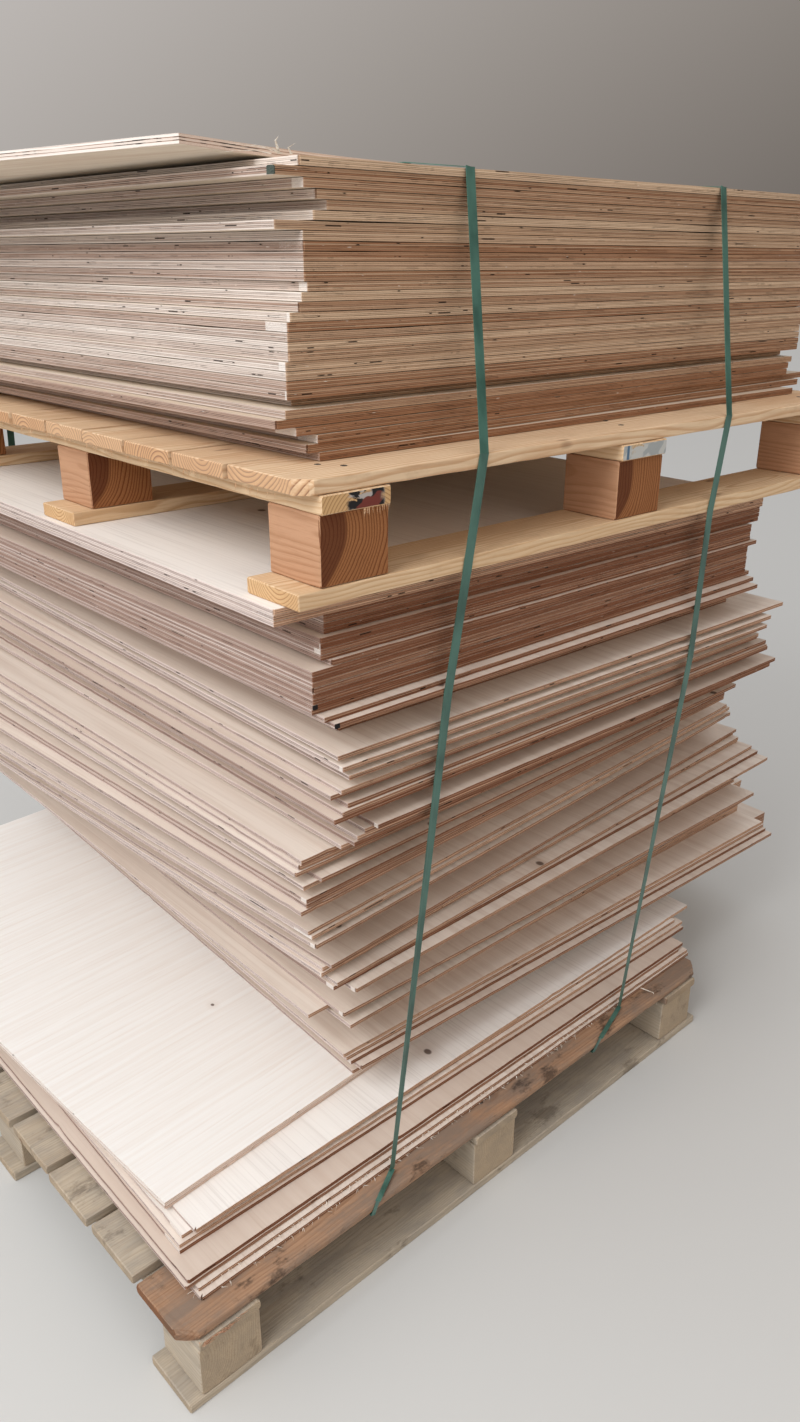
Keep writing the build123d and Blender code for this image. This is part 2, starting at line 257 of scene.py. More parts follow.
def solid_wood(
    name, early, late, ring_pitch, weather, stain, end_tint_and_shade, heart=None, streaks=0.6, end_rings=0.5,
    end_pale=0.0,
):
    """Sawn softwood: rings about a pith, arcs on ends and streaks on faces, with knots and dirt."""
    s = Shader(name)
    along, across, up = s.split(s.attribute("wood", "Vector"))
    tone, seed, dirt, lie = map(s.attribute, ("tone", "seed", "dirt", "lie"))

    def drawn_out(lengthwise, crosswise):
        """A place in the wood, scaled along and across the grain."""
        height = s.plus(s.times(up, crosswise), seed)
        return s.combine(s.times(along, lengthwise), s.times(across, crosswise), height)

    def cloud(lengthwise, crosswise, detail, roughness=0.5):
        return s.noise(drawn_out(lengthwise, crosswise), detail, roughness)

    # Ends face along X, or along Y where lie is 1
    nx, ny, _ = s.split(s.node("ShaderNodeNewGeometry").outputs["Normal"])
    straight = s.times(s.math("ABSOLUTE", nx), s.minus(1.0, lie))
    end = s.span(s.plus(straight, s.times(s.math("ABSOLUTE", ny), lie)), 0.6, 0.8)

    # Year rings, from the distance to the pith
    wave = s.times(s.minus(cloud(3.0, 9.0, 2.0), 0.5), 0.03)
    radius = s.distance(across, up)
    uneven = s.times(s.math("SINE", s.times(radius, 160.0)), 0.0016)
    ring = s.math("FRACT", s.math("DIVIDE", s.plus(s.plus(radius, wave), uneven), ring_pitch))
    late_wood = s.times(s.span(ring, 0.35, 0.85), s.span(ring, 0.9, 1.0, 1.0, 0.0))
    ring_line = s.times(s.times(s.span(ring, 0.7, 0.86), s.span(ring, 0.9, 1.0, 1.0, 0.0)), end)
    fibre = cloud(14.0, 420.0, 3.0, 0.6)
    ringed = s.span(end, 0.0, 1.0, streaks, 0.2 + 0.6 * end_rings)
    base = s.mix(s.times(late_wood, ringed), early, late)
    base = s.mix(s.span(fibre, 0.45, 0.75, 0.0, 0.4), base, late)
    base = s.mix(s.span(cloud(4.0, 16.0, 3.0), 0.42, 0.72, 0.0, 0.5), base, s.mix(tone, early, late))

    # Knots, then the rings and the heart on the ends
    knots = s.span(s.cells(drawn_out(5.0, 14.0)), 0.07, 0.12, 0.6, 0.0)
    base = s.mix(knots, base, BOARD_KNOT)
    base = s.mix(s.times(ring_line, end_rings), base, RING_LINE)
    if heart is not None:
        core = s.plus(radius, s.times(wave, 0.6))
        base = s.mix(s.times(s.span(core, 0.072, 0.078, 0.8, 0.0), end), base, heart)

    # Weathering and stains
    base = s.mix(s.times(s.span(cloud(8.0, 25.0, 4.0, 0.7), 0.35, 0.65), dirt), base, weather)
    stained = s.times(s.span(cloud(11.0, 18.0, 5.0, 0.7), 0.56, 0.68), s.times(dirt, 0.8))
    base = s.mix(stained, base, stain)
    # The ends: the tint darkens and warms them, partly the end grain's own colour and partly painted shade on
    # ends that face the front, and tone with end_pale makes some paler at random
    pale_end = s.mix(s.times(tone, end_pale), s.mix(1.0, base, end_tint_and_shade, "MULTIPLY"), early)
    base = s.mix(end, base, pale_end)
    return s.finish(base, 0.78, s.plus(s.times(fibre, 0.7), s.times(late_wood, 0.25)), 0.0009, 0.2)


def smeared_end(name, wood, rings, smears, scale, reach, stripe=None):
    """Board end with rings and, within a reach of its middle, blots of old paint."""
    s = Shader(name)
    _, across, up = s.split(s.attribute("wood", "Vector"))
    ring = s.math("FRACT", s.math("DIVIDE", s.distance(across, up), END_RING_PITCH))
    base = s.mix(s.span(ring, 0.5, 0.9, 0.0, 0.7), wood, rings)
    blots = s.noise(s.combine(s.times(across, scale), s.times(up, scale * 1.5), 4.0), 4.0, 0.65, 0.6)
    other = s.noise(s.combine(s.times(across, scale * 0.8), s.times(up, scale), 9.0), 4.0, distortion=0.8)
    off = s.plus(s.math("ABSOLUTE", s.plus(across, 0.004)), s.times(s.minus(other, 0.5), 0.05))
    within = s.span(off, reach * 0.8, reach, 1.0, 0.0)
    for smear, field, low, high in zip(smears, (other, blots, other), (0.4, 0.42, 0.56), (0.46, 0.47, 0.6)):
        base = s.mix(s.times(s.span(field, low, high), within), base, smear)
    if stripe is not None:
        line = s.span(s.math("ABSOLUTE", s.plus(across, STRIPE_OFFSET)), 0.002, 0.0035, 1.0, 0.0)
        base = s.mix(line, base, stripe)
    return s.finish(base, 0.55, blots, 0.0006, 0.3)


def plain_wood(name, light, dark):
    """Small parts of one colour with a fine uneven tone."""
    s = Shader(name)
    grain = s.own_noise(300.0, 300.0, 900.0, 2.0)
    return s.finish(s.mix(s.span(grain, 0.35, 0.7), light, dark), 0.7, grain, 0.0003, 0.2)


def strap_band():
    """Green polyester strap with a fine pressed pattern and a satin sheen."""
    s = Shader("strap_band")
    dirt = s.own_noise(30.0, 30.0, 14.0, 4.0)
    base = s.mix(s.span(dirt, 0.4, 0.7), rgb(70, 110, 98), rgb(46, 82, 71))
    return s.finish(base, 0.34, s.own_noise(900.0, 900.0, 900.0, 1.0), 0.0002, 0.6)


# Light, dark and deep tones of each kind of edge, at the left and right sides and at the front and rear
# The side tones are paler and cooler, and the front and rear tones darker and warmer, as painted light and
# shade: the left faces take the key light and the front faces turn away from it
thin_side_lit = (rgb(224, 208, 200), rgb(162, 134, 121), rgb(98, 69, 56))
thin_front_shaded = (rgb(212, 174, 146), rgb(130, 84, 60), rgb(72, 38, 25))
thick_side_lit = (rgb(234, 223, 213), rgb(172, 144, 128), rgb(108, 78, 62))
thick_front_shaded = (rgb(222, 194, 164), rgb(156, 112, 82), rgb(94, 56, 40))
pale_side_lit = (rgb(240, 232, 224), rgb(212, 192, 178), rgb(160, 130, 112))
pale_front_shaded = (rgb(234, 216, 202), rgb(214, 186, 168), rgb(168, 130, 110))
thin_edge = ply_edge("thin_ply_edge", 3, thin_side_lit, thin_front_shaded, GLUE_BROWN)
thick_edge = ply_edge("thick_ply_edge", 5, thick_side_lit, thick_front_shaded, GLUE_BROWN, contrast=0.65)
pale_edge = ply_edge("pale_ply_edge", 3, pale_side_lit, pale_front_shaded, rgb(158, 118, 96), contrast=0.6)

# The grain of the thin and the thick sheets runs from front to rear, that of the pale pair from left to right
thin_face = ply_face(
    "thin_ply_face", rgb(234, 222, 210), rgb(212, 195, 181), rgb(182, 156, 137),
    across=60.0, along=2.0, knots=1.2,
)
pale_face = ply_face(
    "pale_ply_face", rgb(243, 240, 236), rgb(236, 229, 222), rgb(222, 208, 196),
    across=1.6, along=130.0, knots=2.4,
)
thick_face = ply_face(
    "thick_ply_face", rgb(236, 226, 210), rgb(216, 198, 178), rgb(186, 160, 134),
    across=60.0, along=2.0, knots=1.2,
)

new_wood = solid_wood(
    "new_pine", rgb(226, 198, 162), rgb(184, 138, 92), 0.0042,
    weather=rgb(196, 166, 134), stain=rgb(96, 66, 44), end_tint_and_shade=rgb(244, 232, 214),
)
deck_wood = solid_wood(
    "deck_pine", rgb(226, 198, 164), rgb(184, 136, 94), 0.0054,
    weather=rgb(206, 180, 152), stain=rgb(110, 76, 52), end_tint_and_shade=rgb(222, 190, 160),
    end_rings=1.6, end_pale=0.4,
)
block_wood = solid_wood(
    "block_pine", rgb(192, 148, 116), rgb(154, 108, 74), 0.0046,
    weather=rgb(168, 132, 106), stain=rgb(86, 54, 36), end_tint_and_shade=rgb(206, 180, 148),
    heart=rgb(104, 58, 40), streaks=0.45, end_rings=0.8,
)
old_wood = solid_wood(
    "old_pine", rgb(190, 176, 156), rgb(146, 126, 104), 0.0040,
    weather=rgb(150, 142, 132), stain=rgb(74, 62, 52), end_tint_and_shade=rgb(244, 236, 226),
    streaks=0.3, end_rings=0.05,
)
red_wood = solid_wood(
    "stained_board", rgb(172, 136, 108), rgb(120, 86, 62), 0.0062,
    weather=rgb(134, 116, 102), stain=rgb(46, 37, 33), end_tint_and_shade=rgb(206, 180, 158), streaks=0.35,
)
dark_smear = smeared_end(
    "black_smeared_end", rgb(204, 166, 118), rgb(150, 104, 62),
    (rgb(176, 168, 164), rgb(28, 25, 25), rgb(112, 50, 42)),
    scale=30.0, reach=0.028,
)
grey_smear = smeared_end(
    "grey_painted_end", rgb(196, 170, 136), rgb(160, 128, 92),
    (rgb(172, 174, 172), rgb(188, 188, 184), rgb(160, 164, 164)),
    scale=26.0, reach=0.080, stripe=rgb(84, 110, 134),
)
torn_pale = plain_wood("torn_pale_fibre", rgb(246, 240, 230), rgb(222, 206, 186))
torn_pine = plain_wood("torn_pine_fibre", rgb(222, 188, 152), rgb(180, 130, 92))
torn_red = plain_wood("torn_red_fibre", rgb(206, 164, 136), rgb(164, 118, 90))
black_mark = plain_wood("black_mark", rgb(34, 30, 30), rgb(22, 19, 19))
green_mark = plain_wood("green_mark", rgb(84, 92, 84), rgb(58, 66, 60))
nail_head = plain_wood("nail_head", rgb(96, 88, 80), rgb(58, 46, 40))
strap_finish = strap_band()


def solids_of(name):
    """Each separate solid of a node as its unique points, from the lowest up."""
    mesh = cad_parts[name].data
    points = np.array([v.co for v in mesh.vertices], float)
    keys = {}
    merged = np.array([keys.setdefault(tuple(np.round(p, 5)), len(keys)) for p in points])
    parent = list(range(len(keys)))

    def root(item):
        while parent[item] != item:
            parent[item] = parent[parent[item]]
            item = parent[item]
        return item

    for polygon in mesh.polygons:
        ids = [merged[v] for v in polygon.vertices]
        for other in ids[1:]:
            parent[root(other)] = root(ids[0])
    places = np.array(list(keys))
    groups = {}
    for item in range(len(keys)):
        groups.setdefault(root(item), []).append(places[item])
    solids = [np.array(group) for group in groups.values()]

    def order(points):
        x, y, z = points.min(axis=0)
        return round(z, 4), round(y, 3), round(x, 3)

    return sorted(solids, key=order)


def leftmost(solids):
    return min(solids, key=lambda points: points[:, 0].min())


class Box:
    """A box standing on its base, with its near left corner, the directions of its sides and its size."""

    def __init__(self, points):
        self.low = points[:, 2].min()
        self.high = points[:, 2].max()
        self.height = float(self.high - self.low)
        # The two rear corners are never cut, so the sides follow from them
        plan = np.unique(np.round(points[:, :2], 5), axis=0)
        rear = plan[np.argsort(plan[:, 1])[-2:]]
        rear = rear[np.argsort(rear[:, 0])]
        self.length = float(np.linalg.norm(rear[1] - rear[0]))
        self.along = (rear[1] - rear[0]) / self.length
        self.across = np.array([-self.along[1], self.along[0]])
        self.depth = float(((rear[0] - plan) @ self.across).max())
        self.corner = rear[0] - self.across * self.depth

    def place(self, u, v):
        """Plan points at distances along and across from the near left corner."""
        return self.corner + np.outer(u, self.along) + np.outer(v, self.across)


class Build:
    """Collects points, faces and point attributes of many solids into one mesh."""

    def __init__(self):
        self.points, self.faces, self.finish = [], [], []
        self.fields = {}
        self.count = 0

    def add(self, points, faces, finish, fields):
        self.points.append(points)
        self.faces.extend([tuple(self.count + i for i in face) for face in faces])
        self.finish.extend(finish)
        for name, values in fields.items():
            self.fields.setdefault(name, []).append(values)
        self.count += len(points)

    def piece(self, name, materials, smooth=False):
        mesh = bpy.data.meshes.new(name)
        mesh.from_pydata(np.concatenate(self.points).tolist(), [], self.faces)
        for material in materials:
            mesh.materials.append(material)
        mesh.polygons.foreach_set("material_index", self.finish)
        mesh.polygons.foreach_set("use_smooth", [smooth] * len(self.faces))
        for field, parts in self.fields.items():
            values = np.concatenate(parts).astype(np.float32)
            if values.ndim == 2:
                made = mesh.attributes.new(field, "FLOAT_VECTOR", "POINT")
                made.data.foreach_set("vector", values.ravel())
            else:
                made = mesh.attributes.new(field, "FLOAT", "POINT")
                made.data.foreach_set("value", values)
        mesh.validate()
        mesh.update()
        return place_object(name, mesh)


def place_object(name, data):
    made = bpy.data.objects.new(name, data)
    bpy.context.scene.collection.objects.link(made)
    return made


def settle(piece, node=None):
    """Hangs a piece under the root, and hides the CAD node that it takes the place of, if any."""
    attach(piece, "root")
    if node is not None:
        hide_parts(node)


def ripple(where, rng, pitch):
    """Smooth seeded variation of 0 to 1 along a line in metres: three waves, each weaker and shorter."""
    total = np.zeros_like(where)
    scale = 0.0
    for octave in range(3):
        weight = 0.6 ** octave
        length = pitch / (1.9 ** octave)
        total += weight * np.sin(where * 2 * math.pi / length + rng.uniform(0, 2 * math.pi))
        scale += weight
    return 0.5 + 0.5 * total / scale


def grid_faces(rows, columns):
    """Faces of a tube of point rows, each closed on itself."""
    faces = []
    for start in range(0, (rows - 1) * columns, columns):
        for i in range(columns):
            j = (i + 1) % columns
            faces.append((start + i, start + j, start + columns + j, start + columns + i))
    return faces


# Sheets, in metres: the spacing of points along an edge, the first point's distance from a corner, the width
# of the rim that may droop, the broken arris, and the least droop, which keeps sheets apart
EDGE_STEP = 0.014
CORNER_STEP = 0.0025
RIM_WIDTH = 0.050
ARRIS = 0.0003
LEAST_DROOP = 0.00005
EDGE, FACE = 0, 1


def edge_stations(length, rng):
    """Distances from a corner of the uneven points along one side of a sheet."""
    steps = max(8, int(length / EDGE_STEP))
    inner = np.linspace(0, length, steps + 1)[:-1]
    jitter = np.array([rng.uniform(-0.3, 0.3) for _ in inner]) * length / steps
    jitter[0] = 0
    return np.concatenate([[0.0], [CORNER_STEP], (inner + jitter)[1:], [length - CORNER_STEP]])


def add_sheet(build, box, rng, droop, chip, tones):
    """One sheet: a ragged, slightly drooping rim round a flat middle, with worn corners."""
    length, depth = box.length, box.depth
    sides = [edge_stations(side_length, rng) for side_length in (length, depth, length, depth)]
    u = np.concatenate([sides[0], np.full(len(sides[1]), length), length - sides[2], np.zeros(len(sides[3]))])
    v = np.concatenate([np.zeros(len(sides[0])), sides[1], np.full(len(sides[2]), depth), depth - sides[3]])
    count = len(u)
    run = u + v
    gap_u, gap_v = np.minimum(u, length - u), np.minimum(v, depth - v)

    # How far the edge is worn in, with deeper chips at some corners and a few dents
    inset = 0.0001 + 0.0006 * ripple(run, rng, 0.09) ** 2
    for number in range(4):
        worn = rng.uniform(0.0003, 0.0008) if rng.random() < 0.8 else rng.uniform(0.001, chip)
        inset[sum(len(side) for side in sides[:number])] = worn
    for _ in range(rng.randint(1, 4)):
        dent = rng.uniform(0, length + depth)
        inset += 0.0016 * rng.random() * np.exp(-((run - dent) / 0.008) ** 2)

    # How far the rim droops, and how far its underside is lifted
    droop *= rng.choice((0.2, 0.4, 0.8, 1.4, 2.0))
    drop = LEAST_DROOP + droop * ripple(run + rng.uniform(0, 9), rng, rng.uniform(0.25, 0.8)) ** 2
    lift = LEAST_DROOP + 0.35 * droop * ripple(run + rng.uniform(0, 9), rng, rng.uniform(0.2, 0.6)) ** 2
    toward_u = np.sign(length / 2 - u) * (gap_u < 1e-6)
    toward_v = np.sign(depth / 2 - v) * (gap_v < 1e-6)

    def ring(distance, height):
        plan = box.place(u + toward_u * distance, v + toward_v * distance)
        return np.column_stack([plan, np.broadcast_to(height, count)])

    inner_u = np.clip(u, RIM_WIDTH, length - RIM_WIDTH)
    inner_v = np.clip(v, RIM_WIDTH, depth - RIM_WIDTH)
    inner_plan = box.place(inner_u, inner_v)
    points = np.concatenate([
        np.column_stack([inner_plan, np.full(count, box.low)]),
        ring(inset + ARRIS, box.low + lift),
        ring(inset + ARRIS * ripple(run, rng, 0.05), (box.low + box.high) / 2),
        ring(inset + ARRIS, box.high - drop),
        np.column_stack([inner_plan, np.full(count, box.high)]),
    ])
    ply = np.repeat([0.0, 0.0, 0.5, 1.0, 1.0], count)
    faces = grid_faces(5, count)
    finish = [EDGE if row in (1, 2) else FACE for row in range(4) for _ in range(count)] + [FACE, FACE]
    faces.append(tuple(range(count - 1, -1, -1)))
    faces.append(tuple(4 * count + i for i in range(count)))
    shift = rng.uniform(0, 40)
    flat_u = np.concatenate([inner_u, u, u, u, inner_u])
    flat_v = np.concatenate([inner_v, v, v, v, inner_v])
    fields = {
        "ply": ply,
        "run": np.tile(run, 5) + shift,
        "seed": np.full(len(points), float(rng.randint(1, 900))),
        "tone": np.full(len(points), rng.uniform(*tones)),
        "rim": np.tile(np.maximum(gap_u, gap_v), 5),
        "side": np.tile((gap_u < gap_v).astype(float), 5),
        "spot": np.column_stack([flat_u + shift, flat_v + shift, ply]),
    }
    build.add(points, faces, finish, fields)


def sheets(node, materials, seed, tones, droop=0.0004, chip=0.004):
    """All the sheets of a node as one piece. tones are one for each sheet, or two that all are between."""
    rng = random.Random(seed)
    build = Build()
    solids = solids_of(node)
    for number, solid in enumerate(solids):
        own = (tones[number], tones[number]) if len(tones) == len(solids) else tones
        add_sheet(build, Box(solid), rng, droop, chip, own)
    settle(build.piece(node + "_look", materials), node)


def curled_sheet(node, materials):
    """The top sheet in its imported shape, with smooth faces and the plies along its edges."""
    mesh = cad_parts[node].data
    spots = [tuple(round(c, 5) for c in vertex.co) for vertex in mesh.vertices]
    upper = {spots[v] for polygon in mesh.polygons if polygon.normal.z > 0.5 for v in polygon.vertices}
    fronts = [polygon for polygon in mesh.polygons if polygon.normal.y < -0.8]
    across = -np.array(max(fronts, key=lambda polygon: polygon.area).normal[:2])
    along = np.array([across[1], -across[0]])
    index, points, ply, side, faces, finish = {}, [], [], [], [], []
    for polygon in mesh.polygons:
        normal = polygon.normal
        if abs(normal.z) > 0.5:
            kind = "top" if normal.z > 0 else "base"
        else:
            kind = "side" if abs(normal.x) > abs(normal.y) else "front"
        # Points are shared within a kind of face only, so that the edges stay sharp
        face = []
        for v in polygon.vertices:
            key = (kind, spots[v])
            if key not in index:
                index[key] = len(points)
                points.append(spots[v])
                ply.append(1.0 if spots[v] in upper else 0.0)
                side.append(1.0 if kind == "side" else 0.0)
            face.append(index[key])
        faces.append(face)
        finish.append(EDGE if kind in ("side", "front") else FACE)
    points = np.array(points)
    u, v = points[:, :2] @ along, points[:, :2] @ across
    fields = {
        "ply": np.array(ply),
        "run": u + v,
        "seed": np.full(len(points), 77.0),
        "tone": np.full(len(points), 0.3),
        "rim": np.full(len(points), 1.0),
        "side": np.array(side),
        "spot": np.column_stack([u + 9, v + 9, ply]),
    }
    build = Build()
    build.add(points, faces, finish, fields)
    settle(build.piece(node + "_look", materials, smooth=True), node)


# Metres: the spacing of sections along a board, the length of its rounded end, how far that draws in, and how
# far a sawn face is off
BOARD_STEP = 0.03
END_ROUND = 0.0015
END_SHRINK = 0.0012
SAWN_ROUGH = 0.0006


def board_section(wide, high, radius):
    """Points round a board's section with rounded corners, and between them on its sides."""
    corners = (
        (wide - radius, radius, -90, (wide, high / 2)),
        (wide - radius, high - radius, 0, (wide / 2, high)),
        (radius, high - radius, 90, (0, high / 2)),
        (radius, radius, 180, (wide / 2, 0)),
    )
    section = []
    for across, up, start, middle_of_side in corners:
        for step in range(3):
            angle = math.radians(start + 45 * step)
            section.append((across + radius * math.cos(angle), up + radius * math.sin(angle)))
        last = section[-1]
        section.append(((last[0] + middle_of_side[0]) / 2, (last[1] + middle_of_side[1]) / 2))
        section.append(middle_of_side)
    return section


def add_timber(
    build, box, rng, pith, dirt, lengthwise=True, radius=0.0016, cut=0.0, near_end=0, gap=0.0, pull=0.0,
    rear_gap=0.0, set_back=0.0,
):
    """One sawn board or block: a rounded section carried along the grain, with uneven faces.

    pith is where the rings centre, across and up from the middle. cut is the leg of the cut front corners.
    gap and rear_gap draw the sides in, and pull and set_back the ends.
    """
    long, wide = (box.length, box.depth) if lengthwise else (box.depth, box.length)
    high = box.height
    section = board_section(wide, high, radius)
    steps = max(4, int(long / BOARD_STEP))
    stations = [0.0, END_ROUND] + [long * i / steps for i in range(1, steps)]
    if cut:
        near = [cut * i / 5 for i in range(1, 6)]
        stations = sorted(set(stations + near + [long - at for at in near]))
    stations += [long - END_ROUND, long]
    start, stop = set_back + pull * rng.random(), long - set_back - pull * rng.random()
    sides = (gap * rng.uniform(0.5, 1.0), wide - gap * rng.uniform(0.5, 1.0) - rear_gap)
    points = []
    for number, at in enumerate(stations):
        at = start + (stop - start) * at / long
        shrink = END_SHRINK if number in (0, len(stations) - 1) else 0.0
        for across, up in section:
            inset = SAWN_ROUGH * rng.random() + shrink
            a = min(max(across + (inset if across < wide / 2 else -inset), sides[0]), sides[1])
            z = min(max(up + (inset if up < high / 2 else -inset), 0), high)
            if cut:
                wane = 0.5 * max(0.0, up - high * 0.6) if at < long / 2 else 0.0
                a = max(a, cut + wane - min(at, long - at))
            points.append((at, a, z))
    points = np.array(points)
    count = len(section)
    faces = grid_faces(len(stations), count)
    faces.append(tuple(range(count - 1, -1, -1)))
    faces.append(tuple((len(stations) - 1) * count + i for i in range(count)))
    if lengthwise:
        plan = box.place(points[:, 0], points[:, 1])
    else:
        plan = box.place(points[:, 1], points[:, 0])
        faces = [tuple(reversed(face)) for face in faces]
    shift = rng.uniform(0, 30)
    fields = {
        "wood": points + (shift, -wide / 2 - pith[0], -high / 2 - pith[1]),
        "tone": np.full(len(points), rng.random()),
        "seed": np.full(len(points), rng.uniform(0, 50)),
        "dirt": np.full(len(points), dirt),
        "lie": np.full(len(points), 0.0 if lengthwise else 1.0),
    }
    finish = [0] * len(faces)
    finish[-2] = near_end
    build.add(np.column_stack([plan, box.low + points[:, 2]]), faces, finish, fields)


def timber(node, materials, slot, seed, ends=(), **settings):
    """All the boards or blocks of a node as one piece. ends are their near ends' finishes, from the left."""
    rng = random.Random(seed)
    build = Build()
    solids = solids_of(node)
    if ends:
        solids = sorted(solids, key=lambda points: points[:, 0].min())
    for number, solid in enumerate(solids):
        own = dict(settings)
        if number < len(ends):
            own["near_end"] = ends[number]
        if "pith" not in own:
            own["pith"] = (rng.uniform(-0.035, 0.035), rng.choice((-0.034, -0.024, 0.022)))
        add_timber(build, Box(solid), rng, **own)
    settle(build.piece(node + "_look", materials), node)


def add_sliver(build, path, width, thick):
    """A flat sliver along a path, widest at its root and drawn out to a point."""
    path = np.array(path)
    count = len(path)
    points = []
    for number, place in enumerate(path):
        ahead = path[min(number + 1, count - 1)] - path[max(number - 1, 0)]
        ahead = ahead / np.linalg.norm(ahead)
        upright = np.array([0.0, 0.0, 1.0]) if abs(ahead[2]) < 0.8 else np.array([0.0, 1.0, 0.0])
        flat = np.cross(ahead, upright)
        flat = flat / np.linalg.norm(flat)
        proud = np.cross(flat, ahead)
        share = 1.0 - 0.88 * number / (count - 1)
        for a, b in ((-1, 0), (0, -1), (1, 0), (0, 1)):
            points.append(place + flat * a * width * share / 2 + proud * b * thick * share / 2)
    faces = [(3, 2, 1, 0), tuple(4 * (count - 1) + i for i in range(4))] + grid_faces(count, 4)
    build.add(np.array(points), faces, [0] * len(faces), {})


def add_block(build, centre, along, across, size):
    """A small low box with its top edges drawn in, for a mark or a nail head."""
    points = []
    for level, share in ((-0.5, 1.0), (0.35, 1.0), (0.5, 0.8)):
        for a, b in ((-1, -0.6), (-0.6, -1), (0.6, -1), (1, -0.6), (1, 0.6), (0.6, 1), (-0.6, 1), (-1, 0.6)):
            plan = centre[:2] + along * a * share * size[0] / 2 + across * b * share * size[1] / 2
            points.append((*plan, centre[2] + level * size[2]))
    faces = [tuple(range(7, -1, -1)), tuple(range(16, 24))] + grid_faces(3, 8)
    build.add(np.array(points), faces, [0] * len(faces), {})


def small_parts(name, material, fill):
    """One piece of many small parts, which fill adds to it."""
    build = Build()
    fill(build)
    settle(build.piece(name, [material]))


lowest_sheet = Box(solids_of("lower_sheets_loose_bottom")[0])
lower_deck = Box(solids_of("lower_pallet_deck_board_front")[0])


def lowest_edge(build):
    """Torn fibres along the front and left edges of the two lowest sheets, kept just off the deck."""
    rng = random.Random(31)
    for solid in solids_of("lower_sheets_loose_bottom")[:2]:
        box = Box(solid)
        for _ in range(150):
            on_front = rng.random() < 0.7
            where = rng.uniform(0.0, (box.length if on_front else box.depth) * 0.8)
            u, v = (where, 0.0015) if on_front else (0.0015, where)
            out = -box.across if on_front else -box.along
            slide = (box.along if on_front else box.across) * rng.uniform(-1.2, 1.2)
            root = box.place([u], [v])[0]
            reach = rng.uniform(0.002, 0.007) * (0.5 + rng.random())
            z = box.low + rng.uniform(0.0008, 0.003)
            middle = root + (out + 0.4 * slide) * reach * 0.5
            tip = root + (out + slide) * reach
            path = [(*root, z), (*middle, z + 0.0004), (*tip, max(z - 0.4 * reach, lower_deck.high + 0.0012))]
            add_sliver(build, path, rng.uniform(0.0006, 0.0020), 0.0005)


def hanging_splinter(build):
    """A thin splinter that lies out from the lowest sheet's front edge and hangs over the deck's."""
    from_left = 0.998
    plan = lowest_sheet.place([from_left, from_left + 0.006, from_left + 0.004], [0.001, -0.024, -0.036])
    heights = [lower_deck.high + 0.0025, lower_deck.high + 0.0022, lower_deck.high - 0.019]
    add_sliver(build, np.column_stack([plan, heights]), 0.0035, 0.0008)


def top_splinters(build):
    """Torn face veneer beside the near corner of the highest flat sheet.

    Each sliver has its width, its thickness and the places along it from that corner, in millimetres.
    """
    sheet = Box(solids_of("upper_sheets_second_half")[-1])
    corner = np.array([*sheet.corner, sheet.high + 0.00012])
    for width, thick, *places in (
        (5.0, 0.9, (-18, 6, 0), (-34, -1, 3.5), (-52, 2, 5.5), (-68, 14, 3)),
        (4.2, 0.9, (-20, 7, 0), (-28, -2, 4.5), (-34, -7, 10), (-32, -10, 14)),
        (4.6, 0.9, (-24, 14, 0), (-40, 20, 2.5), (-56, 36, 2), (-64, 52, 0.5)),
        (3.0, 0.8, (-6, 4, 0.2), (-16, -4, 5), (-12, -12, 9)),
        (3.4, 0.8, (-16, 9, 0.2), (-36, 8, 4), (-58, 18, 7), (-72, 36, 7)),
    ):
        add_sliver(build, corner + np.array(places) / 1000, width / 1000, thick / 1000)


def pallet_fibres(build):
    """Torn fibres on the near block, the near stringer end and the deck boards of the upper pallet."""
    rng = random.Random(32)
    block = Box(solids_of("upper_pallet_blocks_front")[0])
    for _ in range(46):
        v = rng.choice((0.0008, 0.0008, block.depth * rng.random()))
        z = block.low + block.height * rng.choice((rng.random(), 0.05 + 0.25 * rng.random()))
        root = block.place([0.0006], [v])[0]
        away = -block.along * rng.uniform(0.002, 0.007) - block.across * rng.uniform(-0.002, 0.003)
        path = [(*root, z), (*(root + away * 0.6), z + 0.0004), (*(root + away), z - rng.uniform(0.0, 0.003))]
        add_sliver(build, path, 0.0009, 0.0005)
    stringer = Box(leftmost(solids_of("upper_pallet_stringer_boards")))
    low = stringer.low
    for _ in range(22):
        root = stringer.place([stringer.length * rng.uniform(0.6, 1.0)], [0.001])[0]
        drop = rng.uniform(0.003, 0.011)
        tip = root + rng.uniform(-0.002, 0.002)
        path = [(*root, low + 0.001), (*root, low - drop * 0.5), (*tip, low - drop)]
        add_sliver(build, path, 0.0010, 0.0006)
    for solid in solids_of("upper_pallet_deck_boards") + solids_of("upper_pallet_deck_board_front"):
        board = Box(solid)
        low = board.low
        for _ in range(12):
            x, y = board.place([0.001], [board.depth * rng.uniform(0.25, 0.95)])[0]
            drop = rng.uniform(0.002, 0.008)
            bend = rng.uniform(-0.004, 0.002)
            path = [(x, y, low + 0.001), (x + bend * 0.4, y, low - drop * 0.5), (x + bend, y, low - drop)]
            add_sliver(build, path, 0.0008, 0.0005)


def stringer_fibres(build):
    """Torn fibres along the top of the near stringer end of the lower pallet."""
    rng = random.Random(33)
    box = Box(leftmost(solids_of("lower_pallet_stringer_boards")))
    for _ in range(34):
        u = rng.uniform(0.002, 0.9) * box.length * (0.4 + 0.6 * rng.random())
        slide = rng.uniform(0.006, 0.022)
        out = rng.uniform(0.0002, 0.0022)
        plan = box.place([u, u + 0.5 * slide, u + slide], [0.003, -out, -0.6 * out])
        z = box.high - rng.uniform(0.0005, 0.007)
        path = [(*plan[0], z), (*plan[1], z - 0.001), (*plan[2], z - 0.002)]
        add_sliver(build, path, rng.uniform(0.0010, 0.0030), 0.0007)


